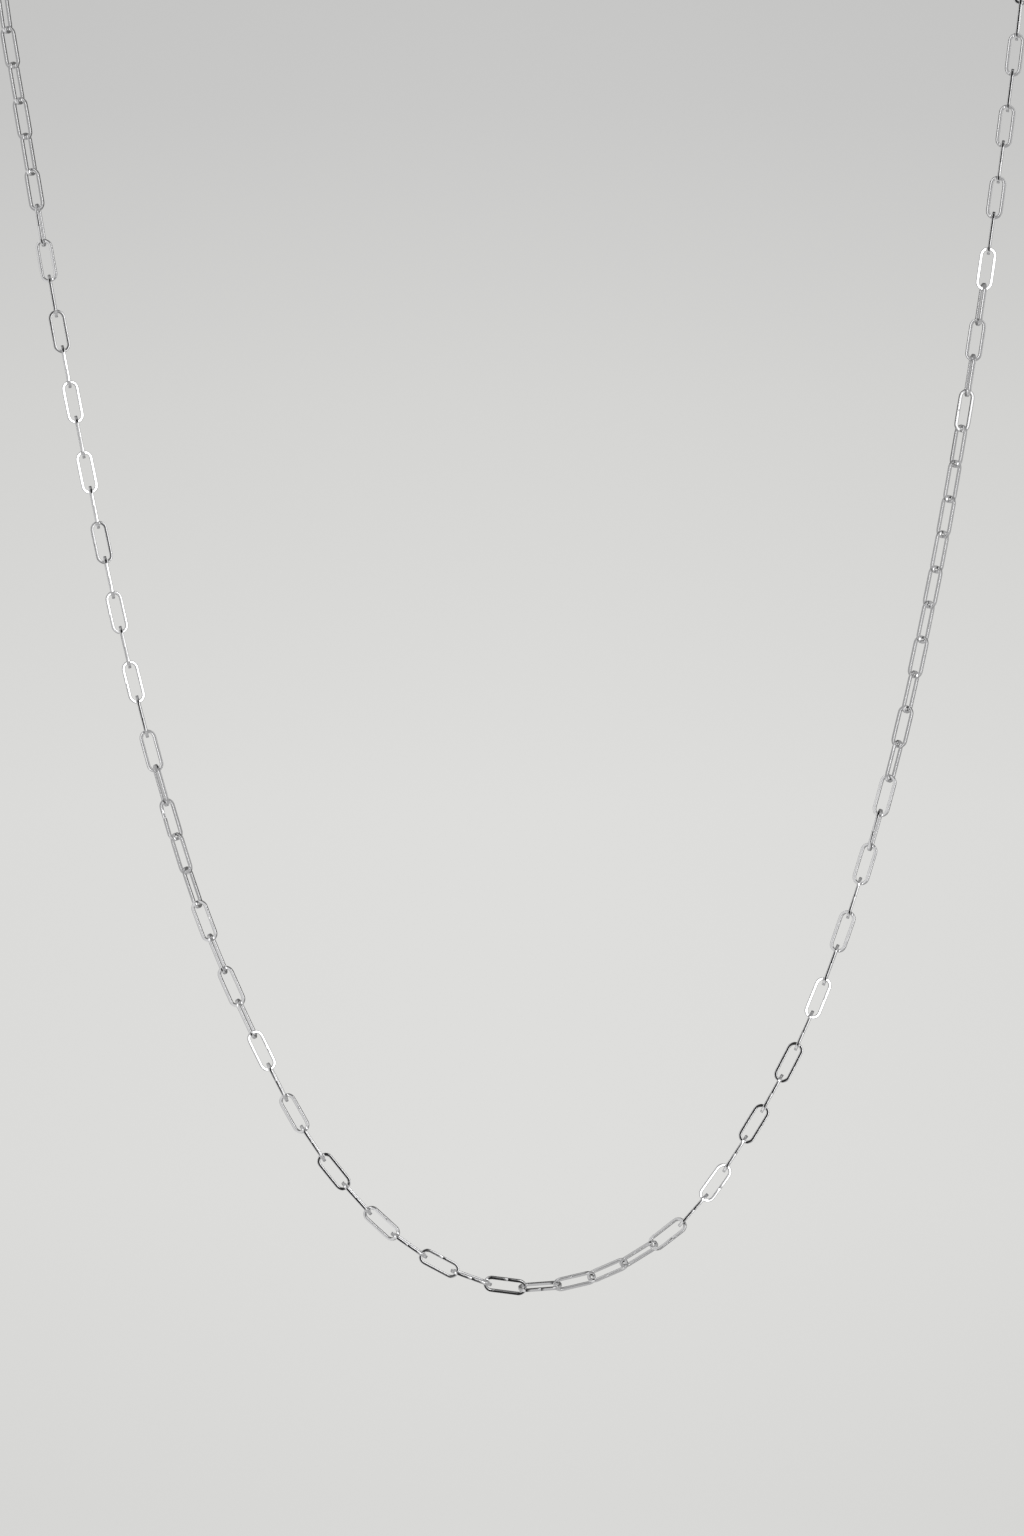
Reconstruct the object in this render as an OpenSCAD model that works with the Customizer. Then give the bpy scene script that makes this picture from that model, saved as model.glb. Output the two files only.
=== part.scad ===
// Fine paperclip chain necklace, hanging as it is worn, in millimetres.
// The origin is the middle of the clasp at the nape. X runs across the neck, Y to the back, Z up.

/* [Links] */
// Length of a link, outside to outside
link_l = 4.68; // [3.5:0.01:9]
// Width of a link, outside to outside
link_w = 1.8; // [1.4:0.05:3]
// Thickness of the square wire, from flat to flat
wire_w = 0.34; // [0.25:0.01:0.5]
// Bevel along each edge of the wire
wire_edge = 0.09; // [0.03:0.01:0.12]
// Clear space between the bows of two links
link_gap = 0.14; // [0.14:0.01:0.3]
// Further space between the lowest links, which carry the least weight
low_slack = 0.1; // [0:0.01:0.3]

/* [Clasp] */
// Clear hole of the spring ring
ring_hole = 4; // [2.5:0.1:9]
// Space on each side of the ring's tube inside the end link
ring_play = 0.18; // [0.18:0.01:0.3]
// Clear hole of the small eye
eye_hole = 1.3; // [1.1:0.05:2.5]
// Thickness of the eye's wire
eye_wire = 0.45; // [0.3:0.05:0.6]
// Diameter of the thumb nub
nub_d = 0.6; // [0.3:0.05:0.75]
// Height of the thumb nub above the ring
nub_h = 0.6; // [0.2:0.05:2]
// Place of the thumb nub round the ring, from the eye
nub_turn = 115; // [60:5:160]

/* [Hidden] */
$fn = 48;

silver = [0.83, 0.83, 0.82];

// Link sizes that follow from the ones above
leg_l = link_l - link_w;
bow_r = (link_w - wire_w) / 2;
step_top = link_l - 2 * wire_w - link_gap;

// Clasp sizes that follow from the ones above
ring_wire = link_w - 2 * wire_w - 2 * ring_play;
ring_r = (ring_hole + ring_wire) / 2;
eye_r = (eye_hole + eye_wire) / 2;
eye_x = -ring_r - eye_r;

// Where the end links hang in the eye and in the ring
start_x = eye_x - eye_r + (eye_wire + link_gap) / 2;
end_x = ring_r - (ring_wire + link_gap) / 2;

// Route of the chain: across, back and up, from the eye down the left side and up the right
front = -80;
ROUTE = [
    [-16, -2.5, -0.5], [-31, -10, -2], [-43.5, -21, -3.5], [-52, -34, -5.5], [-56, -48, -7.5],
    [-57, -59.5, -9], [-56.5, -68, -12], [-56, -74.5, -16.5], [-55, -78.5, -22.5],
    [-54.5, front, -30], [-52, front, -45], [-49, front, -62.5], [-45.5, front, -80.5],
    [-41.5, front, -99], [-37, front, -116], [-32, front, -131], [-24.5, front, -147],
    [-19, front, -155.5], [-11.5, front, -163], [-2, front, -167.5], [7.5, front, -167],
    [15.5, front, -163], [21.5, front, -157], [30, front, -143], [36, front, -128],
    [41, front, -111], [45, front, -93], [48, front, -76.5], [50.5, front, -60.5],
    [52.5, front, -46], [54.5, front, -30],
    [55, -78.5, -22.5], [56, -74.5, -16.5], [56.5, -68, -12], [57, -59.5, -9],
    [56.5, -48, -7.5], [52.5, -33.5, -5.5], [44, -20, -3.5], [31, -8, -2], [16, -2, -0.5]
];
points = concat([[start_x, 0, 0]], ROUTE, [[end_x, 0, 0]]);
route_low = min([for (point = ROUTE) point.z]);

// Smooth curve through the points, as short straight pieces
pieces = 10;
last = len(points) - 1;
function before(i) = i > 0 ? points[i - 1] : 2 * points[0] - points[1];
function after(i) = i < last ? points[i + 1] : 2 * points[last] - points[last - 1];
function between(a, b, c, d, u) =
    b + u / 2 * (c - a + u * (2 * a - 5 * b + 4 * c - d + u * (3 * b - a - 3 * c + d)));
curve = [
    for (i = [0 : last - 1]) for (k = [0 : pieces - 1])
        between(before(i), points[i], points[i + 1], after(i + 1), k / pieces),
    points[last]
];

// Distance along the curve at each of its points
along = [
    for (
        i = 0, s = 0;
        i < len(curve);
        i = i + 1, s = i < len(curve) ? s + norm(curve[i] - curve[i - 1]) : s
    ) s
];
route_l = along[len(along) - 1];
across_at = [for (i = [0 : len(curve) - 1]) [along[i], curve[i].x]];
back_at = [for (i = [0 : len(curve) - 1]) [along[i], curve[i].y]];
up_at = [for (i = [0 : len(curve) - 1]) [along[i], curve[i].z]];
function at(s) = [lookup(s, across_at), lookup(s, back_at), lookup(s, up_at)];

// Distance from one joint of two links to the next: shorter where the chain hangs low and is slack
function hang_at(s) = lookup(s, up_at) / route_low;
function step_at(s) = step_top - low_slack * pow(hang_at(s), 2);
stops = [for (s = 0, past = false; !past; past = s >= route_l, s = s + step_at(s)) s];
links = len(stops) - 1;
function joint(i) = at(stops[i] * route_l / stops[links]);

// Turn of the even links about the chain: share of the way round, degrees
TURN = [
    [0, 0], [0.2, -24], [0.247, -30], [0.26, -10], [0.29, 0], [0.34, 0], [0.37, 15], [0.378, 42],
    [0.385, 50], [0.392, 70], [0.43, 88], [0.46, 90], [0.487, 80], [0.5, 68], [0.507, 50],
    [0.514, 50], [0.521, 33], [0.534, 9], [0.55, 3], [0.6, 4], [0.617, 9], [0.63, 29],
    [0.657, 35], [0.668, 45], [0.7, 58], [0.706, 79], [0.735, 88], [0.76, 90],
    [1, links % 2 == 1 ? 180 : 90]
];

// A link lies along its two joints, its flat side turned by TURN and, at each odd link, a quarter more
function unit(v) = v / norm(v);
function link_turn(i) = lookup((i + 0.5) / links, TURN) + (i % 2) * 90;

module wire_section() {
    flat = wire_w / 2;
    cut = flat - wire_edge;
    polygon([
        [flat, cut], [cut, flat], [-cut, flat], [-flat, cut],
        [-flat, -cut], [-cut, -flat], [cut, -flat], [flat, -cut]
    ]);
}

module link() {
    for (side = [-1, 1])
        translate([side * bow_r, 0, -leg_l / 2])
            linear_extrude(leg_l) wire_section();
    for (turn = [0, 180])
        rotate([0, turn, 0]) translate([0, 0, leg_l / 2]) rotate([90, 0, 0])
            rotate_extrude(angle = 180) translate([bow_r, 0]) wire_section();
}

// Depth behind the front at which the side facing the wearer turns from backwards to downwards
turn_depth = 6;

// Stands a shape on its own Z along the way from a to b. Its X points into the loop, or, at a turn
// of 90, at the wearer: backwards at the front of the chain and downwards round the neck
module between_joints(a, b, turn) {
    middle = (a + b) / 2;
    way = unit(b - a);
    wearer = [0, 1, (front - middle.y) / turn_depth];
    back = unit(wearer - (wearer * way) * way);
    side = cross(way, back);
    across = cos(turn) * side + sin(turn) * back;
    face = cross(way, across);
    multmatrix([
        [across.x, face.x, way.x, middle.x],
        [across.y, face.y, way.y, middle.y],
        [across.z, face.z, way.z, middle.z],
        [0, 0, 0, 1]
    ]) children();
}

module chain(first, past_last) {
    color(silver)
        for (i = [first : past_last - 1])
            between_joints(joint(i), joint(i + 1), link_turn(i)) link();
}

// The two halves meet in the lowest joint
joint_heights = [for (i = [0 : links]) joint(i).z];
lowest_joint = search(min(joint_heights), joint_heights)[0];

module chain_left() chain(0, lowest_joint);

module chain_right() chain(lowest_joint, links);

module upright_ring(r, wire) {
    rotate([90, 0, 0]) rotate_extrude() translate([r, 0]) circle(d = wire);
}

module clasp() {
    color(silver) {
        upright_ring(ring_r, ring_wire);
        translate([eye_x, 0, 0]) upright_ring(eye_r, eye_wire);
        rotate([0, 180 + nub_turn, 0]) translate([ring_r, 0, 0]) rotate([0, 90, 0])
            cylinder(h = ring_wire / 2 + nub_h, d = nub_d);
    }
}

chain_left();
chain_right();
clasp();
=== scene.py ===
"""Fine paperclip chain necklace in polished silver, hung as it is worn.

Sizes are in millimetres, with X across the neck, Y to the nape and Z up, until a mesh is made,
which is in metres. The origin is the middle of the clasp at the nape.
"""

from __future__ import annotations

import logging
import math
from dataclasses import dataclass, field
from enum import Enum
from random import Random

import bpy
from mathutils import Matrix, Vector

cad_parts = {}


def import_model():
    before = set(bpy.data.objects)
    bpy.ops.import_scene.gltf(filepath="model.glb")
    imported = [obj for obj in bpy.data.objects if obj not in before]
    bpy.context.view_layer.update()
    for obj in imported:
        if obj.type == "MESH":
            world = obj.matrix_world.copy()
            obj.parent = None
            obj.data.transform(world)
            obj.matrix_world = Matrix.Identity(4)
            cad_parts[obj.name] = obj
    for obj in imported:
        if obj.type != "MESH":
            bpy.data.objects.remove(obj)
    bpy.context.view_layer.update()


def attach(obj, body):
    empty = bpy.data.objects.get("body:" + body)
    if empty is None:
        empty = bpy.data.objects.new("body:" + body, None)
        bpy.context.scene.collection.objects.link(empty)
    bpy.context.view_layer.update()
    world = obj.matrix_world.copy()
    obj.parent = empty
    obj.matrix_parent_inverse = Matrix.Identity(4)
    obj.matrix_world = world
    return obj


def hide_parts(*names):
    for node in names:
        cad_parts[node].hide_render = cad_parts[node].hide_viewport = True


log = logging.getLogger("necklace")

MM = 0.001
FRONT = -80.0

# Route of the chain: from the clasp's eye down the left side of the neck and up the right
ROUTE = [
    (-16, -2.5, -0.5), (-31, -10, -2), (-43.5, -21, -3.5), (-52, -34, -5.5), (-56, -48, -7.5),
    (-57, -59.5, -9), (-56.5, -68, -12), (-56, -74.5, -16.5), (-55, -78.5, -22.5),
    (-54.5, FRONT, -30), (-52, FRONT, -45), (-49, FRONT, -62.5), (-45.5, FRONT, -80.5),
    (-41.5, FRONT, -99), (-37, FRONT, -116), (-32, FRONT, -131), (-24.5, FRONT, -147),
    (-19, FRONT, -155.5), (-11.5, FRONT, -163), (-2, FRONT, -167.5), (7.5, FRONT, -167),
    (15.5, FRONT, -163), (21.5, FRONT, -157), (30, FRONT, -143), (36, FRONT, -128),
    (41, FRONT, -111), (45, FRONT, -93), (48, FRONT, -76.5), (50.5, FRONT, -60.5),
    (52.5, FRONT, -46), (54.5, FRONT, -30),
    (55, -78.5, -22.5), (56, -74.5, -16.5), (56.5, -68, -12), (57, -59.5, -9),
    (56.5, -48, -7.5), (52.5, -33.5, -5.5), (44, -20, -3.5), (31, -8, -2), (16, -2, -0.5),
]

# Turn of the even links about the chain: share of the way round, degrees
TURN = [
    (0, 0), (0.2, -24), (0.247, -30), (0.26, -10), (0.29, 0), (0.34, 0), (0.37, 15), (0.378, 42),
    (0.385, 50), (0.392, 70), (0.43, 88), (0.46, 90), (0.487, 80), (0.5, 68), (0.507, 50),
    (0.514, 50), (0.521, 33), (0.534, 9), (0.55, 3), (0.6, 4), (0.617, 9), (0.63, 29),
    (0.657, 35), (0.668, 45), (0.7, 58), (0.706, 79), (0.735, 88), (0.76, 90), (1, 180),
]

# Rolls of single links about the chain, which set what each shows in its polish: first and last
# link, degrees. Links 22 and 121 hang widest, and their rolls hold them inside the CAD's box
ROLLS = [
    (22, 22, -3.5), (121, 121, 4),
    (31, 35, -4), (36, 36, -6), (37, 37, 3), (38, 38, -1.5), (39, 39, 5.7), (40, 40, 4.2), (41, 42, 6),
    (43, 43, 3.2), (44, 44, 6), (45, 45, 4), (46, 46, 0.6), (47, 47, 5.2), (48, 48, 4), (49, 49, 2),
    (50, 50, 1), (51, 51, -6.8), (52, 52, 5), (53, 53, 3), (58, 58, 1), (59, 59, -5),
    (60, 60, -5), (61, 61, 9.5), (62, 62, 0.5), (63, 63, -11.5), (64, 64, -0.4), (65, 65, -6),
    (66, 66, -4), (67, 67, -14), (68, 68, 0.3), (69, 69, 3.2), (70, 70, 4.5), (71, 71, -3),
    (77, 77, -6.5), (78, 78, -8), (79, 79, -1), (80, 80, 3.5), (81, 81, -0.2), (82, 82, 3),
    (83, 83, -0.5), (84, 84, -7), (86, 86, 10.5), (87, 87, -2), (88, 88, 7), (89, 89, 3.5),
    (90, 90, -2), (91, 91, 2), (94, 94, 3), (95, 95, 5), (98, 98, -8), (99, 99, -6), (100, 100, -4),
    (101, 101, 6), (102, 102, -2), (103, 103, -5), (104, 104, -7), (106, 106, 5.5), (107, 107, -14),
    (108, 108, 5), (109, 109, -15), (110, 110, 3), (111, 111, -18),
]


def lookup(x: float, table: list[tuple[float, float]]) -> float:
    """Read a table of rising x and y at x, in a straight line between its rows.

    Args:
        x: Where to read.
        table: Rows of x and y.

    Returns:
        The y at x.
    """
    if x <= table[0][0]:
        return table[0][1]
    for (x0, y0), (x1, y1) in zip(table, table[1:]):
        if x <= x1:
            return y0 + (y1 - y0) * (x - x0) / (x1 - x0)
    return table[-1][1]


def linear(hex_colour: str) -> tuple[float, float, float, float]:
    """Turn an sRGB hex colour into the linear one that a shader takes.

    Args:
        hex_colour: Six hex digits.

    Returns:
        Linear red, green and blue, and an alpha of 1.
    """
    parts = [int(hex_colour[i : i + 2], 16) / 255 for i in (0, 2, 4)]
    return (*(c / 12.92 if c <= 0.04045 else ((c + 0.055) / 1.055) ** 2.4 for c in parts), 1.0)


def add_node(
    tree: bpy.types.NodeTree,
    kind: str,
    settings: dict[str | int, object] | None = None,
    links: dict[str | int, bpy.types.NodeSocket] | None = None,
) -> bpy.types.Node:
    """Add one node to a tree.

    Args:
        tree: The tree it goes in.
        kind: The node's type.
        settings: Values by an input's name or number, or by the name of a property of the node.
        links: What feeds each input, by the input's name or number.

    Returns:
        The new node.
    """
    node = tree.nodes.new(kind)
    for name, value in (settings or {}).items():
        if isinstance(name, int) or name in node.inputs:
            node.inputs[name].default_value = value
        else:
            setattr(node, name, value)
    for name, source in (links or {}).items():
        tree.links.new(source, node.inputs[name])
    return node


def empty_tree(owner: bpy.types.Material | bpy.types.World) -> bpy.types.NodeTree:
    """Give a material or a world a node tree with nothing in it.

    Args:
        owner: The material or world.

    Returns:
        Its tree.
    """
    owner.use_nodes = True
    owner.node_tree.nodes.clear()
    return owner.node_tree


class Half(Enum):
    """The two halves of the chain, named as the node that each stands for."""

    LEFT = "chain_left"
    RIGHT = "chain_right"


@dataclass(frozen=True)
class PolishedSilver:
    """Sterling silver, drawn, soldered and tumbled with steel shot to a bright polish.

    The eye sees a mirror that is a little soft: the shot leaves shallow dimples and the cloth
    leaves hairlines, so reflections have crisp edges on each flat but waver along it.
    """

    name: str = "polished_sterling_silver"
    colour: str = "FAFAFA"
    dull_colour: str = "E6E6E7"
    roughness_low: float = 0.03
    roughness_high: float = 0.1
    # Dimples of the shot are about 0.1 mm apart: drawn at 1.2 mm, so that they show at all
    dimple_mm: float = 1.2
    dimple_depth_mm: float = 0.0008
    # Patches where the polish is older, about as long as a link
    patch_mm: float = 5.0

    def material(self) -> bpy.types.Material:
        """Build the material.

        Returns:
            The finished node material.
        """
        material = bpy.data.materials.new(self.name)
        tree = empty_tree(material)
        place = add_node(tree, "ShaderNodeTexCoord").outputs["Object"]
        patches = add_node(
            tree, "ShaderNodeTexNoise",
            {"Scale": 1 / (self.patch_mm * MM), "Detail": 2.0}, {"Vector": place},
        )
        dimples = add_node(
            tree, "ShaderNodeTexNoise",
            {"Scale": 1 / (self.dimple_mm * MM), "Detail": 1.0}, {"Vector": place},
        )
        # A Mix node's colour sockets go by number, as their names stand for its other kinds too
        tint = add_node(
            tree, "ShaderNodeMix",
            {"data_type": "RGBA", 6: linear(self.colour), 7: linear(self.dull_colour)},
            {"Factor": patches.outputs["Fac"]},
        )
        rough = add_node(
            tree, "ShaderNodeMapRange",
            {"To Min": self.roughness_low, "To Max": self.roughness_high},
            {"Value": dimples.outputs["Fac"]},
        )
        bump = add_node(
            tree, "ShaderNodeBump",
            {"Strength": 1.0, "Distance": self.dimple_depth_mm * MM},
            {"Height": dimples.outputs["Fac"]},
        )
        shader = add_node(
            tree, "ShaderNodeBsdfPrincipled",
            {"Metallic": 1.0},
            {
                "Base Color": tint.outputs[2],
                "Roughness": rough.outputs["Result"],
                "Normal": bump.outputs["Normal"],
            },
        )
        add_node(tree, "ShaderNodeOutputMaterial", {}, {"Surface": shader.outputs["BSDF"]})
        return material


@dataclass(frozen=True)
class GlowingBoardPaintedLight:
    """White-painted studio board, rolled matt, that glows by itself with painted light: no lamp lights
    it.

    The eye sees a plain pale ground with no edge and no shadow on it. Its glow is painted brightest
    low down, as if washed with light from its foot, and fades to a soft grey towards the top and a
    little towards the sides.
    """

    name: str = "board_with_painted_light"
    # Height above the nape, and the tone of the painted light that the board glows with there
    tones: tuple[tuple[float, str], ...] = (
        (-1400.0, "DAD9D7"), (-450.0, "D9D9D7"), (-310.0, "DEDEDC"), (-130.0, "DEDEDC"),
        (60.0, "D5D5D3"), (200.0, "C9C9C8"), (270.0, "C6C6C5"),
    )
    # The painted light falls off by this share at this distance to each side
    side_fall: float = 0.035
    side_reach: float = 340.0

    def material(self) -> bpy.types.Material:
        """Build the material.

        Returns:
            The finished node material.
        """
        material = bpy.data.materials.new(self.name)
        tree = empty_tree(material)
        place = add_node(tree, "ShaderNodeTexCoord").outputs["Object"]
        parts = add_node(tree, "ShaderNodeSeparateXYZ", {}, {0: place})
        low, high = self.tones[0][0], self.tones[-1][0]
        height = add_node(
            tree, "ShaderNodeMapRange",
            {"From Min": low * MM, "From Max": high * MM}, {"Value": parts.outputs["Z"]},
        )
        tone = add_node(tree, "ShaderNodeValToRGB", {}, {"Fac": height.outputs["Result"]})
        stops = tone.color_ramp.elements
        while len(stops) < len(self.tones):
            stops.new(0.5)
        for stop, (rise, colour) in zip(stops, self.tones):
            stop.position = (rise - low) / (high - low)
            stop.color = linear(colour)
        away = add_node(tree, "ShaderNodeMath", {"operation": "ABSOLUTE"}, {0: parts.outputs["X"]})
        fall = add_node(
            tree, "ShaderNodeMapRange",
            {
                "interpolation_type": "SMOOTHSTEP",
                "From Max": self.side_reach * MM, "To Min": 1.0, "To Max": 1 - self.side_fall,
            },
            {"Value": away.outputs["Value"]},
        )
        # The board glows by itself, its painted light darker towards the top and towards the sides
        glow = add_node(
            tree, "ShaderNodeEmission", {},
            {"Color": tone.outputs["Color"], "Strength": fall.outputs["Result"]},
        )
        add_node(tree, "ShaderNodeOutputMaterial", {}, {"Surface": glow.outputs["Emission"]})
        return material


@dataclass(frozen=True)
class LightTent:
    """White nylon light tent round the chain, which shows only in its polish.

    The eye sees a pale surround in the silver: lit board straight behind, dimmer cloth round it,
    a bright floor, a dark strip overhead, and the soft-edged dark slit to the left of the lens
    that turns some links dark.
    """

    name: str = "light_tent"
    # How far back the cloth lies, from -1 beside the lens to 1 straight behind, and its tone
    depth_tones: tuple[tuple[float, float], ...] = (
        (-1.0, 0.72), (-0.97, 0.66), (-0.9, 0.45), (-0.7, 0.42), (-0.45, 0.36), (-0.05, 0.42),
        (0.15, 0.42), (0.4, 0.36), (0.6, 0.26), (0.94, 0.26), (0.975, 0.65), (1.0, 0.75),
    )
    # How high it lies, from -1 straight below to 1 overhead, and what its tone is multiplied by
    height_tones: tuple[tuple[float, float], ...] = (
        (-1.0, 1.3), (-0.6, 1.3), (-0.45, 1.05), (-0.15, 1.05), (-0.08, 1.0), (0.25, 1.0),
        (0.4, 0.9), (1.0, 0.9),
    )
    # How far to the side it lies, from -1 at the left to 1 at the right, and the same for that
    side_tones: tuple[tuple[float, float], ...] = (
        (-1.0, 1.0), (-0.8, 1.0), (-0.64, 1.5), (-0.4, 1.5), (-0.3, 1.1), (0.0, 1.0), (0.4, 0.85),
        (0.65, 0.85), (0.8, 1.0), (1.0, 1.0),
    )
    # Dark slit beside the lens: its tone, its two sides in degrees to the right of the lens, and
    # how soft its edges are
    slit: float = 0.04
    slit_from: float = -17.0
    slit_to: float = -5.0
    slit_soft: float = 8.0
    # Dark strip over the chain: its tone, and half its width, where it starts and how soft its
    # edges are, all three as shares of the way across or up
    strip: float = 0.1
    strip_half: float = 0.1
    strip_low: float = 0.35
    strip_soft: float = 0.1
    # The brightest tone that its curves hold, as a curve's own values end at 1
    curve_top: float = 2.0

    def world(self) -> bpy.types.World:
        """Build the tent as the scene's surroundings.

        Returns:
            The finished world.
        """
        world = bpy.data.worlds.new(self.name)
        tree = empty_tree(world)
        way = add_node(tree, "ShaderNodeTexCoord").outputs["Generated"]
        parts = add_node(tree, "ShaderNodeSeparateXYZ", {}, {0: way})
        depth = add_node(
            tree, "ShaderNodeMath", {"operation": "MULTIPLY", 1: -1.0}, {0: parts.outputs["Y"]}
        )
        round_to_right = add_node(
            tree, "ShaderNodeMath", {"operation": "ARCTAN2"},
            {0: parts.outputs["X"], 1: depth.outputs["Value"]},
        )
        aside = add_node(tree, "ShaderNodeMath", {"operation": "ABSOLUTE"}, {0: parts.outputs["X"]})
        shades = []
        left, right, soft_edge = (
            math.radians(angle) for angle in (self.slit_from, self.slit_to, self.slit_soft)
        )
        for dark, edges in (
            (self.slit, (
                (round_to_right, "Value", left, -soft_edge),
                (round_to_right, "Value", right, soft_edge),
            )),
            (self.strip, (
                (aside, "Value", self.strip_half, self.strip_soft),
                (parts, "Z", self.strip_low, -self.strip_soft),
            )),
        ):
            fades = []
            for source, output, edge, soft in edges:
                fades.append(add_node(
                    tree, "ShaderNodeMapRange",
                    {
                        "interpolation_type": "SMOOTHSTEP",
                        "From Min": edge, "From Max": edge + soft, "To Min": dark, "To Max": 1.0,
                    },
                    {"Value": source.outputs[output]},
                ))
            shades.append(add_node(
                tree, "ShaderNodeMath", {"operation": "MAXIMUM"},
                {0: fades[0].outputs["Result"], 1: fades[1].outputs["Result"]},
            ))
        tone = add_node(
            tree, "ShaderNodeMath", {"operation": "MULTIPLY"},
            {0: shades[0].outputs["Value"], 1: shades[1].outputs["Value"]},
        )
        for axis, tones in (
            ("X", self.side_tones), ("Y", self.depth_tones), ("Z", self.height_tones),
        ):
            share = add_node(
                tree, "ShaderNodeMapRange", {"From Min": -1.0}, {"Value": parts.outputs[axis]}
            )
            cloth = add_node(tree, "ShaderNodeFloatCurve", {}, {"Value": share.outputs["Result"]})
            curve = cloth.mapping.curves[0]
            while len(curve.points) < len(tones):
                curve.points.new(0.5, 0.5)
            for point, (reach, value) in zip(curve.points, tones):
                point.location = ((reach + 1) / 2, value / self.curve_top)
                point.handle_type = "VECTOR"
            cloth.mapping.update()
            tone = add_node(
                tree, "ShaderNodeMath", {"operation": "MULTIPLY"},
                {0: tone.outputs["Value"], 1: cloth.outputs["Value"]},
            )
            tone = add_node(
                tree, "ShaderNodeMath", {"operation": "MULTIPLY", 1: self.curve_top},
                {0: tone.outputs["Value"]},
            )
        glow = add_node(
            tree, "ShaderNodeBackground", {"Strength": 1.0}, {"Color": tone.outputs["Value"]}
        )
        add_node(tree, "ShaderNodeOutputWorld", {}, {"Surface": glow.outputs["Background"]})
        return world


@dataclass(frozen=True)
class GreyFelt:
    """Grey wool felt of a studio flag, matt and without any gloss.

    The eye sees only an even grey along the wire's inner edges, where the felt is mirrored.
    """

    name: str = "grey_felt"
    colour: str = "8C8C8C"

    def material(self) -> bpy.types.Material:
        """Build the material.

        Returns:
            The finished node material.
        """
        material = bpy.data.materials.new(self.name)
        tree = empty_tree(material)
        felt = add_node(
            tree, "ShaderNodeBsdfDiffuse", {"Color": linear(self.colour), "Roughness": 1.0}
        )
        add_node(tree, "ShaderNodeOutputMaterial", {}, {"Surface": felt.outputs["BSDF"]})
        return material


@dataclass(frozen=True)
class Wire:
    """The link wire: drawn square, with rolled edges and flats that are a little crowned."""

    # Flat to flat, radius of the rolled edges, and how far a flat stands out at its middle
    width: float = 0.34
    edge: float = 0.07
    crown: float = 0.0015
    # How far out a flat stays nearly level, as a share of its half, and the crown's drop there
    level: float = 0.8
    level_drop: float = 0.3
    # Straight pieces in a rolled edge
    edge_steps: int = 4

    def section(self) -> list[tuple[float, float]]:
        """Go once round the section.

        Returns:
            Points as distance outwards and distance up, from the wire's middle.
        """
        flat = self.width / 2
        middle = flat - self.edge
        quarter = []
        for step in range(self.edge_steps + 1):
            angle = math.pi / 2 * step / self.edge_steps
            quarter.append(
                (middle + self.edge * math.cos(angle) - self.crown,
                 middle + self.edge * math.sin(angle) - self.crown)
            )
        for side in (1, -1):
            quarter.append((side * self.level * middle, flat - self.level_drop * self.crown))
        points = []
        for turn in range(4):
            for x, y in quarter:
                for _ in range(turn):
                    x, y = -y, x
                points.append((x, y))
        return points


@dataclass
class Mesher:
    """Gathers the points and faces of one piece, in millimetres."""

    points: list[Vector] = field(default_factory=list)
    faces: list[tuple[int, ...]] = field(default_factory=list)

    def loft(self, rings: list[list[Vector]], closed: bool) -> None:
        """Skin a row of rings that have as many points each.

        Args:
            rings: The rings in order.
            closed: Whether the last ring joins the first. Else both ends are capped.
        """
        first, count, turns = len(self.points), len(rings[0]), len(rings)
        for ring in rings:
            self.points.extend(ring)
        for a in range(turns if closed else turns - 1):
            b = (a + 1) % turns
            for i in range(count):
                j = (i + 1) % count
                self.faces.append(
                    (first + a * count + i, first + a * count + j,
                     first + b * count + j, first + b * count + i)
                )
        if not closed:
            self.faces.append(tuple(first + i for i in reversed(range(count))))
            self.faces.append(tuple(first + (turns - 1) * count + i for i in range(count)))

    def piece(self, name: str, material: bpy.types.Material) -> bpy.types.Object:
        """Turn what was gathered into an object, in metres.

        Args:
            name: The piece's name.
            material: What it is made of.

        Returns:
            The new object, in the scene.
        """
        mesh = bpy.data.meshes.new(name)
        mesh.from_pydata([p * MM for p in self.points], [], self.faces)
        mesh.materials.append(material)
        mesh.shade_smooth()
        mesh.update()
        made = bpy.data.objects.new(name, mesh)
        bpy.context.scene.collection.objects.link(made)
        return made


@dataclass(frozen=True)
class Seam:
    """Where the two ends of a link's wire were soldered, in one leg."""

    # How far along its leg it lies, as a share of the leg
    share: float = 0.5
    # Half the width of the shallow groove that is left after polishing, and its depth
    reach: float = 0.04
    depth: float = 0.003
    # Half the width of the groove's floor, as a share of its reach
    floor: float = 0.4
    # How far the two ends miss each other: outwards, and about the wire in degrees
    step: float = 0.0
    twist: float = 0.0


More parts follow.
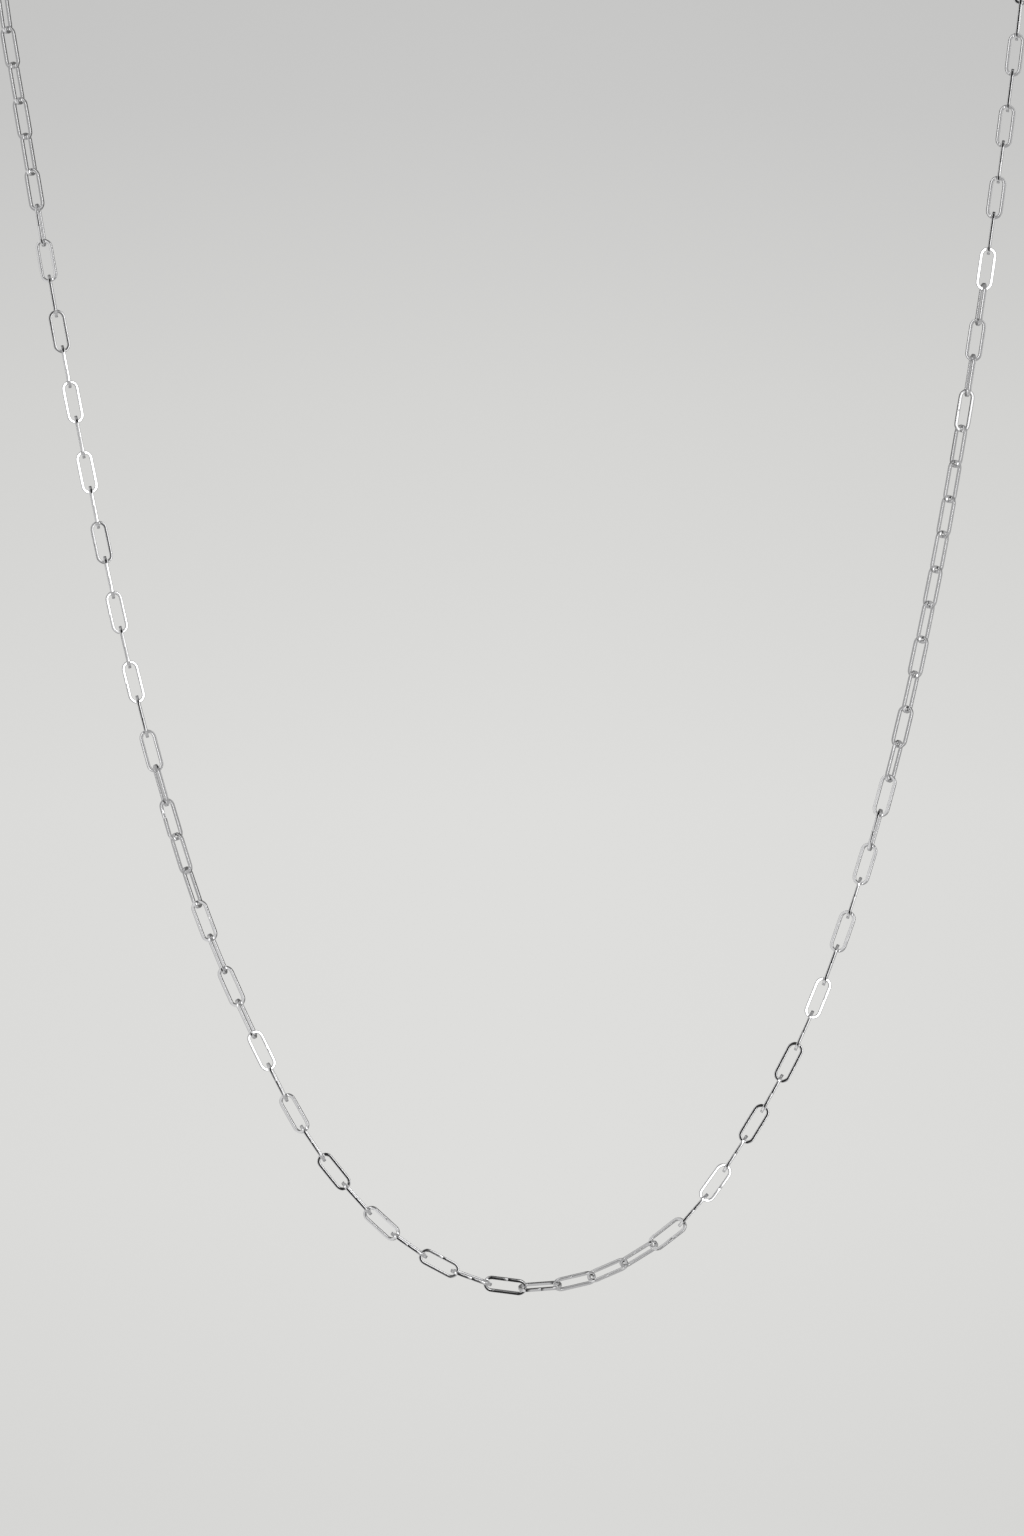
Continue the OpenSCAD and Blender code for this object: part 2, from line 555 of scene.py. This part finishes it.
@dataclass(frozen=True)
class Link:
    """One long, narrow link: two straight legs and two round bows of square wire."""

    # Outside to outside
    length: float = 4.68
    width: float = 1.8
    wire: Wire = Wire()
    # Sections of the wire in a bow and in a plain leg
    bow_steps: int = 14
    leg_steps: int = 6
    # How far the wire may be rolled about itself as it was bent, degrees
    roll: float = 1.2
    # How far the legs may stand out between the bows, and the share of that by which they may
    # stand in
    leg_bulge: float = 0.006
    leg_sink: float = 0.3

    @property
    def bow_r(self) -> float:
        """Radius of the middle of the wire in a bow."""
        return (self.width - self.wire.width) / 2

    @property
    def leg(self) -> float:
        """Length of a straight leg."""
        return self.length - self.width

    def middle_line(self, bulge: float, seam: Seam) -> list[tuple[Vector, Vector, float, float]]:
        """Follow the middle of the wire once round the link.

        Args:
            bulge: How far the legs stand out at their middle.
            seam: The seam, in the second leg.

        Returns:
            Points in the link's X and Z, each with the direction that points out of the link, how
            deep the wire is sunk there, and how much of the seam's miss the wire has there.
        """
        near, far = seam.reach / self.leg, seam.floor * seam.reach / self.leg
        steps = range(self.leg_steps // 2)
        plain = [(step / self.leg_steps, 0.0) for step in range(self.leg_steps)]
        soldered = [
            *((seam.share * step / len(steps), 0.0) for step in steps),
            (seam.share - near, 0.0),
            (seam.share - far, seam.depth),
            (seam.share + far, seam.depth),
            (seam.share + near, 0.0),
            *((seam.share + (1 - seam.share) * step / len(steps), 0.0) for step in steps if step),
        ]
        line = []
        for side, leg in ((1, plain), (-1, soldered)):
            for share, sunk in leg:
                out = side * (self.bow_r + bulge * math.sin(math.pi * share))
                tip = bulge * math.pi / self.leg * math.cos(math.pi * share)
                outward = Vector((side, 0, -side * tip)).normalized()
                miss = 0.0
                if side < 0:
                    before = share < seam.share
                    miss = -share / seam.share if before else (1 - share) / (1 - seam.share)
                line.append((Vector((out, 0, side * self.leg * (share - 0.5))), outward, sunk, miss))
            for step in range(self.bow_steps):
                angle = math.pi * step / self.bow_steps
                outward = Vector((side * math.cos(angle), 0, side * math.sin(angle)))
                middle = Vector((0, 0, side * self.leg / 2)) + self.bow_r * outward
                line.append((middle, outward, 0.0, 0.0))
        return line

    def add(self, mesher: Mesher, place: Matrix, number: int, seam: Seam) -> None:
        """Add the link to a mesh.

        Args:
            mesher: What gathers the mesh.
            place: Turns the link's own X, Y and Z, and moves it into place.
            number: The link's number in the chain, which settles its small faults.
            seam: The link's seam.
        """
        chance = Random(number)
        roll = math.radians(chance.uniform(-self.roll, self.roll))
        twist = math.radians(chance.uniform(-self.roll, self.roll))
        bulge = chance.uniform(-self.leg_sink, 1) * self.leg_bulge
        section = self.wire.section()
        up = Vector((0, 1, 0))
        rings = []
        line = self.middle_line(bulge, seam)
        for i, (middle, outward, sunk, miss) in enumerate(line):
            turn = roll + twist * math.sin(2 * math.pi * i / len(line))
            turn += miss * math.radians(seam.twist) / 2
            c, s = math.cos(turn), math.sin(turn)
            middle = middle + miss * seam.step / 2 * outward
            size = 1 - 2 * sunk / self.wire.width
            rings.append([
                place @ (middle + size * ((x * c - y * s) * outward + (x * s + y * c) * up))
                for x, y in section
            ])
        mesher.loft(rings, closed=True)


@dataclass(frozen=True)
class Clasp:
    """Spring ring at the nape, with the small eye that the first link hangs in."""

    # Clear hole of the ring, and the space on each side of its tube inside the end link
    hole: float = 4.0
    play: float = 0.18
    eye_hole: float = 1.3
    eye_wire: float = 0.45
    # Thumb nub: its diameter and height, its place round the ring from the eye in degrees, and its
    # width at the foot, up its turned profile and at the tip, as shares of its diameter. The
    # profile's heights are from the tube
    nub_d: float = 0.6
    nub_h: float = 0.6
    nub_turn: float = 115.0
    nub_foot: float = 0.6
    nub_profile: tuple[tuple[float, float], ...] = (
        (0.1, 0.6), (0.2, 0.8), (0.3, 1.0), (0.45, 1.0), (0.55, 0.85),
    )
    nub_tip: float = 0.5
    # Where the tube ends and the thinner bolt shows, from the eye, degrees
    gap_from: float = 128.0
    gap_to: float = 158.0
    # The bolt's thickness as a share of the tube's, and how far its ends are hidden, degrees
    bolt_share: float = 0.72
    bolt_hidden: float = 1.0
    # Sections in a whole ring, and points round a section
    steps: int = 120
    section_steps: int = 24

    def wire(self, link: Link) -> float:
        """Thickness of the ring's tube, which passes through the end link."""
        return link.width - 2 * link.wire.width - 2 * self.play

    def ring_r(self, link: Link) -> float:
        """Radius of the middle of the ring's tube."""
        return (self.hole + self.wire(link)) / 2

    @property
    def eye_r(self) -> float:
        """Radius of the middle of the eye's wire."""
        return (self.eye_hole + self.eye_wire) / 2

    def eye_x(self, link: Link) -> float:
        """Where the middle of the eye lies."""
        return -self.ring_r(link) - self.eye_r

    def circle(self, middle: Vector, out: Vector, across: Vector, radius: float) -> list[Vector]:
        """Go once round a circle.

        Args:
            middle: The circle's middle.
            out: Where the first point lies, seen from the middle.
            across: The direction that it turns to.
            radius: Its radius.

        Returns:
            Points on the circle.
        """
        angles = (2 * math.pi * k / self.section_steps for k in range(self.section_steps))
        return [middle + radius * (math.cos(a) * out + math.sin(a) * across) for a in angles]

    def tube(
        self,
        mesher: Mesher,
        centre_x: float,
        radius: float,
        spans: list[tuple[float, float, float]],
    ) -> None:
        """Add stretches of a round tube that bends about Y.

        Args:
            mesher: What gathers the mesh.
            centre_x: Where the ring's middle lies.
            radius: Radius of the middle of the tube.
            spans: From, to (degrees from -X, rising over +Z) and the tube's radius.
        """
        for start, end, thick in spans:
            whole = end - start >= 360
            count = max(4, round(self.steps * (end - start) / 360))
            rings = []
            for step in range(count if whole else count + 1):
                angle = math.radians(start + (end - start) * step / count)
                out = Vector((-math.cos(angle), 0, math.sin(angle)))
                middle = Vector((centre_x, 0, 0)) + radius * out
                rings.append(self.circle(middle, out, Vector((0, 1, 0)), thick))
            mesher.loft(rings, closed=whole)

    def build(self, link: Link, material: bpy.types.Material) -> list[bpy.types.Object]:
        """Build the clasp's pieces.

        Args:
            link: The link that the ring's tube has to pass through.
            material: What it is made of.

        Returns:
            The clasp's pieces.
        """
        half = self.wire(link) / 2
        ring = Mesher()
        self.tube(ring, 0, self.ring_r(link), [
            (self.gap_to, 360 + self.gap_from, half),
            (
                self.gap_from - self.bolt_hidden, self.gap_to + self.bolt_hidden,
                half * self.bolt_share,
            ),
        ])
        eye = Mesher()
        self.tube(eye, self.eye_x(link), self.eye_r, [(0, 360, self.eye_wire / 2)])
        nub = Mesher()
        angle = math.radians(self.nub_turn)
        out = Vector((-math.cos(angle), 0, math.sin(angle)))
        across = Vector((math.sin(angle), 0, math.cos(angle)))
        head = self.ring_r(link) + half
        profile = ((-half, self.nub_foot), *self.nub_profile, (self.nub_h, self.nub_tip))
        rings = [
            self.circle((head + rise) * out, across, Vector((0, -1, 0)), share * self.nub_d / 2)
            for rise, share in profile
        ]
        nub.loft(rings, closed=False)
        return [
            ring.piece("clasp_ring", material),
            eye.piece("clasp_eye", material),
            nub.piece("clasp_nub", material),
        ]


@dataclass(frozen=True)
class Chain:
    """The whole chain: its links, where they join, and how each is turned."""

    link: Link = Link()
    clasp: Clasp = Clasp()
    # Clear space between the bows of two links, and what the lowest links have on top of that
    gap: float = 0.14
    low_slack: float = 0.1
    # Straight pieces of the curve between two points of the route
    pieces: int = 10
    # Depth behind the front at which the side facing the wearer turns from backwards to downwards
    turn_depth: float = 6.0
    # How far any link may be rolled by chance, degrees, and what its chance starts from
    stray_roll: float = 0.8
    roll_seed: int = 1000
    # Seams: where along the leg they may lie, the most that their ends miss each other outwards
    # and in degrees, and what their chance starts from
    seam_from: float = 0.42
    seam_to: float = 0.58
    seam_step: float = 0.004
    seam_twist: float = 1.0
    seam_seed: int = 2000
    # The one link whose wire ends were soldered well out of line
    crooked_link: int = 54
    crooked_seam: Seam = Seam(share=0.62, reach=0.12, depth=0.015, step=0.04, twist=-50.0)

    def curve(self) -> list[Vector]:
        """Draw a smooth curve through the route, as short straight pieces.

        Returns:
            Points along the curve.
        """
        clasp, link = self.clasp, self.link
        start = clasp.eye_x(link) - clasp.eye_r + (clasp.eye_wire + self.gap) / 2
        end = clasp.ring_r(link) - (clasp.wire(link) + self.gap) / 2
        points = [Vector(p) for p in ((start, 0, 0), *ROUTE, (end, 0, 0))]
        points = [2 * points[0] - points[1], *points, 2 * points[-1] - points[-2]]
        curve = []
        for a, b, c, d in zip(points, points[1:], points[2:], points[3:]):
            for step in range(self.pieces):
                u = step / self.pieces
                curve.append(
                    b + u / 2 * (c - a + u * (2 * a - 5 * b + 4 * c - d + u * (3 * b - a - 3 * c + d)))
                )
        return [*curve, points[-2]]

    def joints(self) -> list[Vector]:
        """Step along the curve from joint to joint, the steps shorter where the chain hangs slack.

        Returns:
            Where each two links meet, from the eye round to the ring.
        """
        curve = self.curve()
        along = [0.0]
        for a, b in zip(curve, curve[1:]):
            along.append(along[-1] + (b - a).length)
        low = min(z for _, _, z in ROUTE)
        heights = [(s, p.z) for s, p in zip(along, curve)]
        step_top = self.link.length - 2 * self.link.wire.width - self.gap
        stops = [0.0]
        while stops[-1] < along[-1]:
            hang = lookup(stops[-1], heights) / low
            stops.append(stops[-1] + step_top - self.low_slack * hang**2)
        tables = [[(s, p[axis]) for s, p in zip(along, curve)] for axis in range(3)]
        scale = along[-1] / stops[-1]
        return [Vector([lookup(s * scale, table) for table in tables]) for s in stops]

    def roll(self, number: int) -> float:
        """Tell how far a link is rolled from where its neighbours would turn it.

        Args:
            number: The link's number in the chain.

        Returns:
            The roll in degrees.
        """
        chance = Random(self.roll_seed + number).uniform(-self.stray_roll, self.stray_roll)
        return chance + sum(roll for first, last, roll in ROLLS if first <= number <= last)

    def seam(self, number: int) -> Seam:
        """Tell how a link's seam turned out.

        Args:
            number: The link's number in the chain.

        Returns:
            The seam.
        """
        if number == self.crooked_link:
            return self.crooked_seam
        chance = Random(self.seam_seed + number)
        return Seam(
            share=chance.uniform(self.seam_from, self.seam_to),
            step=chance.uniform(-self.seam_step, self.seam_step),
            twist=chance.uniform(-self.seam_twist, self.seam_twist),
        )

    def places(self) -> list[Matrix]:
        """Stand each link along its two joints, turned about the chain.

        Returns:
            One placing matrix for each link.
        """
        joints = self.joints()
        count = len(joints) - 1
        places = []
        for i, (a, b) in enumerate(zip(joints, joints[1:])):
            turn = lookup((i + 0.5) / count, TURN) + (i % 2) * 90 + self.roll(i)
            turn = math.radians(turn)
            middle = (a + b) / 2
            way = (b - a).normalized()
            wearer = Vector((0, 1, (FRONT - middle.y) / self.turn_depth))
            back = (wearer - wearer.dot(way) * way).normalized()
            side = way.cross(back)
            across = math.cos(turn) * side + math.sin(turn) * back
            face = way.cross(across)
            places.append(Matrix((
                (across.x, face.x, way.x, middle.x),
                (across.y, face.y, way.y, middle.y),
                (across.z, face.z, way.z, middle.z),
                (0, 0, 0, 1),
            )))
        return places

    def build(self, material: bpy.types.Material) -> dict[Half, bpy.types.Object]:
        """Build both halves of the chain.

        Args:
            material: What the links are made of.

        Returns:
            One object for each half.
        """
        places = self.places()
        heights = [p.z for p in self.joints()]
        lowest = heights.index(min(heights))
        halves = {}
        for half, numbers in (
            (Half.LEFT, range(lowest)),
            (Half.RIGHT, range(lowest, len(places))),
        ):
            mesher = Mesher()
            for number in numbers:
                self.link.add(mesher, places[number], number, self.seam(number))
            halves[half] = mesher.piece(f"{half.value}_links", material)
        return halves


@dataclass(frozen=True)
class Panel:
    """One soft light: where it hangs, seen from the chain, and how bright it looks there."""

    name: str
    # Degrees to the right of the lens and upwards
    azimuth: float
    elevation: float
    # Metres
    width: float
    height: float
    radiance: float
    # Metres
    distance: float = 1.6


@dataclass(frozen=True)
class Studio:
    """Floor, backdrop, flag, soft lights and camera."""

    # How much the picture shows, from top to bottom, of the plane in which the chain's front
    # hangs, the height of its middle, and how far the camera stands from that plane
    picture_h: float = 164.4
    picture_z: float = -112.2
    camera_away: float = 1200.0
    sensor: float = 36.0
    clip_end_m: float = 100.0
    # Floor and wall, with the radius of the cove between them
    floor_z: float = -1400.0
    wall_r: float = 4000.0
    cove_r: float = 1500.0
    wall_top: float = 3000.0
    cove_steps: int = 24
    wall_steps: int = 96
    # Upright oval flag between the strands
    flag_w: float = 44.0
    flag_depth: float = 70.0
    flag_y: float = -34.0
    flag_low: float = -145.0
    flag_high: float = -8.0
    flag_steps: int = 48
    panels: tuple[Panel, ...] = (
        Panel("side_left", -46, 15, 0.4, 1.4, 0.85),
        Panel("side_right", 50, 15, 0.4, 1.4, 0.85),
        Panel("tall_right", 14, 6, 0.5, 1.2, 2.2),
    )

    def backdrop(self, material: bpy.types.Material) -> bpy.types.Object:
        """Build the floor and the wall that it curves up into, all round the object.

        Args:
            material: What they are painted with.

        Returns:
            The backdrop.
        """
        profile = [(0.0, self.floor_z), (self.wall_r - self.cove_r, self.floor_z)]
        for step in range(1, self.cove_steps + 1):
            angle = math.pi / 2 * step / self.cove_steps
            profile.append((
                self.wall_r - self.cove_r + self.cove_r * math.sin(angle),
                self.floor_z + self.cove_r * (1 - math.cos(angle)),
            ))
        profile.append((self.wall_r, self.wall_top))
        count = self.wall_steps
        points, faces = [Vector((0, 0, profile[0][1]))], []
        for r, z in profile[1:]:
            for k in range(count):
                a = 2 * math.pi * k / count
                points.append(Vector((r * math.cos(a), r * math.sin(a), z)))
        for k in range(count):
            faces.append((0, 1 + k, 1 + (k + 1) % count))
        for row in range(len(profile) - 2):
            for k in range(count):
                a, b = 1 + row * count + k, 1 + row * count + (k + 1) % count
                faces.append((a, a + count, b + count, b))
        mesher = Mesher(points, faces)
        board = mesher.piece("backdrop", material)
        board.visible_glossy = False
        board.visible_shadow = False
        return board

    def flag(self, material: bpy.types.Material) -> bpy.types.Object:
        """Stand a flag between the strands, out of the camera's sight.

        Args:
            material: What it is covered with.

        Returns:
            The flag, which shows only in the wire's inner edges.
        """
        mesher = Mesher()
        rings = []
        angles = [2 * math.pi * k / self.flag_steps for k in range(self.flag_steps)]
        for z in (self.flag_low, self.flag_high):
            rings.append([
                Vector((
                    self.flag_w / 2 * math.cos(angle),
                    self.flag_y + self.flag_depth / 2 * math.sin(angle),
                    z,
                ))
                for angle in angles
            ])
        mesher.loft(rings, closed=False)
        flag = mesher.piece("flag", material)
        flag.visible_camera = False
        flag.visible_shadow = False
        return flag

    def lights(self) -> None:
        """Hang the soft lights and put up the tent that shows between them."""
        target = Vector((0, FRONT, self.picture_z)) * MM
        for panel in self.panels:
            data = bpy.data.lights.new(panel.name, "AREA")
            data.shape = "RECTANGLE"
            data.size, data.size_y = panel.width, panel.height
            # An area light looks as bright as its power over pi times its area
            data.energy = panel.radiance * math.pi * panel.width * panel.height
            light = bpy.data.objects.new(panel.name, data)
            a, e = math.radians(panel.azimuth), math.radians(panel.elevation)
            away = Vector((math.sin(a) * math.cos(e), -math.cos(a) * math.cos(e), math.sin(e)))
            light.location = target + away * panel.distance
            light.rotation_euler = away.to_track_quat("Z", "Y").to_euler()
            light.visible_camera = False
            bpy.context.scene.collection.objects.link(light)
        bpy.context.scene.world = LightTent().world()

    def camera(self) -> None:
        """Stand the camera level with the middle of the chain's front, with a long lens."""
        data = bpy.data.cameras.new("camera")
        data.sensor_width = self.sensor
        data.lens = self.sensor * self.camera_away / self.picture_h
        data.clip_end = self.clip_end_m
        camera = bpy.data.objects.new("camera", data)
        camera.location = Vector((0, FRONT - self.camera_away, self.picture_z)) * MM
        camera.rotation_euler = (math.pi / 2, 0, 0)
        bpy.context.scene.collection.objects.link(camera)
        bpy.context.scene.camera = camera


def main() -> None:
    """Build the necklace and the studio."""
    logging.basicConfig(level=logging.INFO, format="%(message)s")
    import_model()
    silver = PolishedSilver().material()
    chain = Chain()
    for half, piece in chain.build(silver).items():
        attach(piece, "root")
        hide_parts(half.value)
        log.info("%s: %d points", piece.name, len(piece.data.vertices))
    for piece in chain.clasp.build(chain.link, silver):
        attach(piece, "root")
        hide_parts("clasp")
        log.info("%s: %d points", piece.name, len(piece.data.vertices))
    studio = Studio()
    studio.backdrop(GlowingBoardPaintedLight().material())
    studio.flag(GreyFelt().material())
    studio.lights()
    studio.camera()
    bpy.context.scene.view_settings.view_transform = "Standard"
    # The denoiser breaks wire as thin as this into beads
    bpy.context.scene.cycles.use_denoising = False


if __name__ == "__main__":
    main()
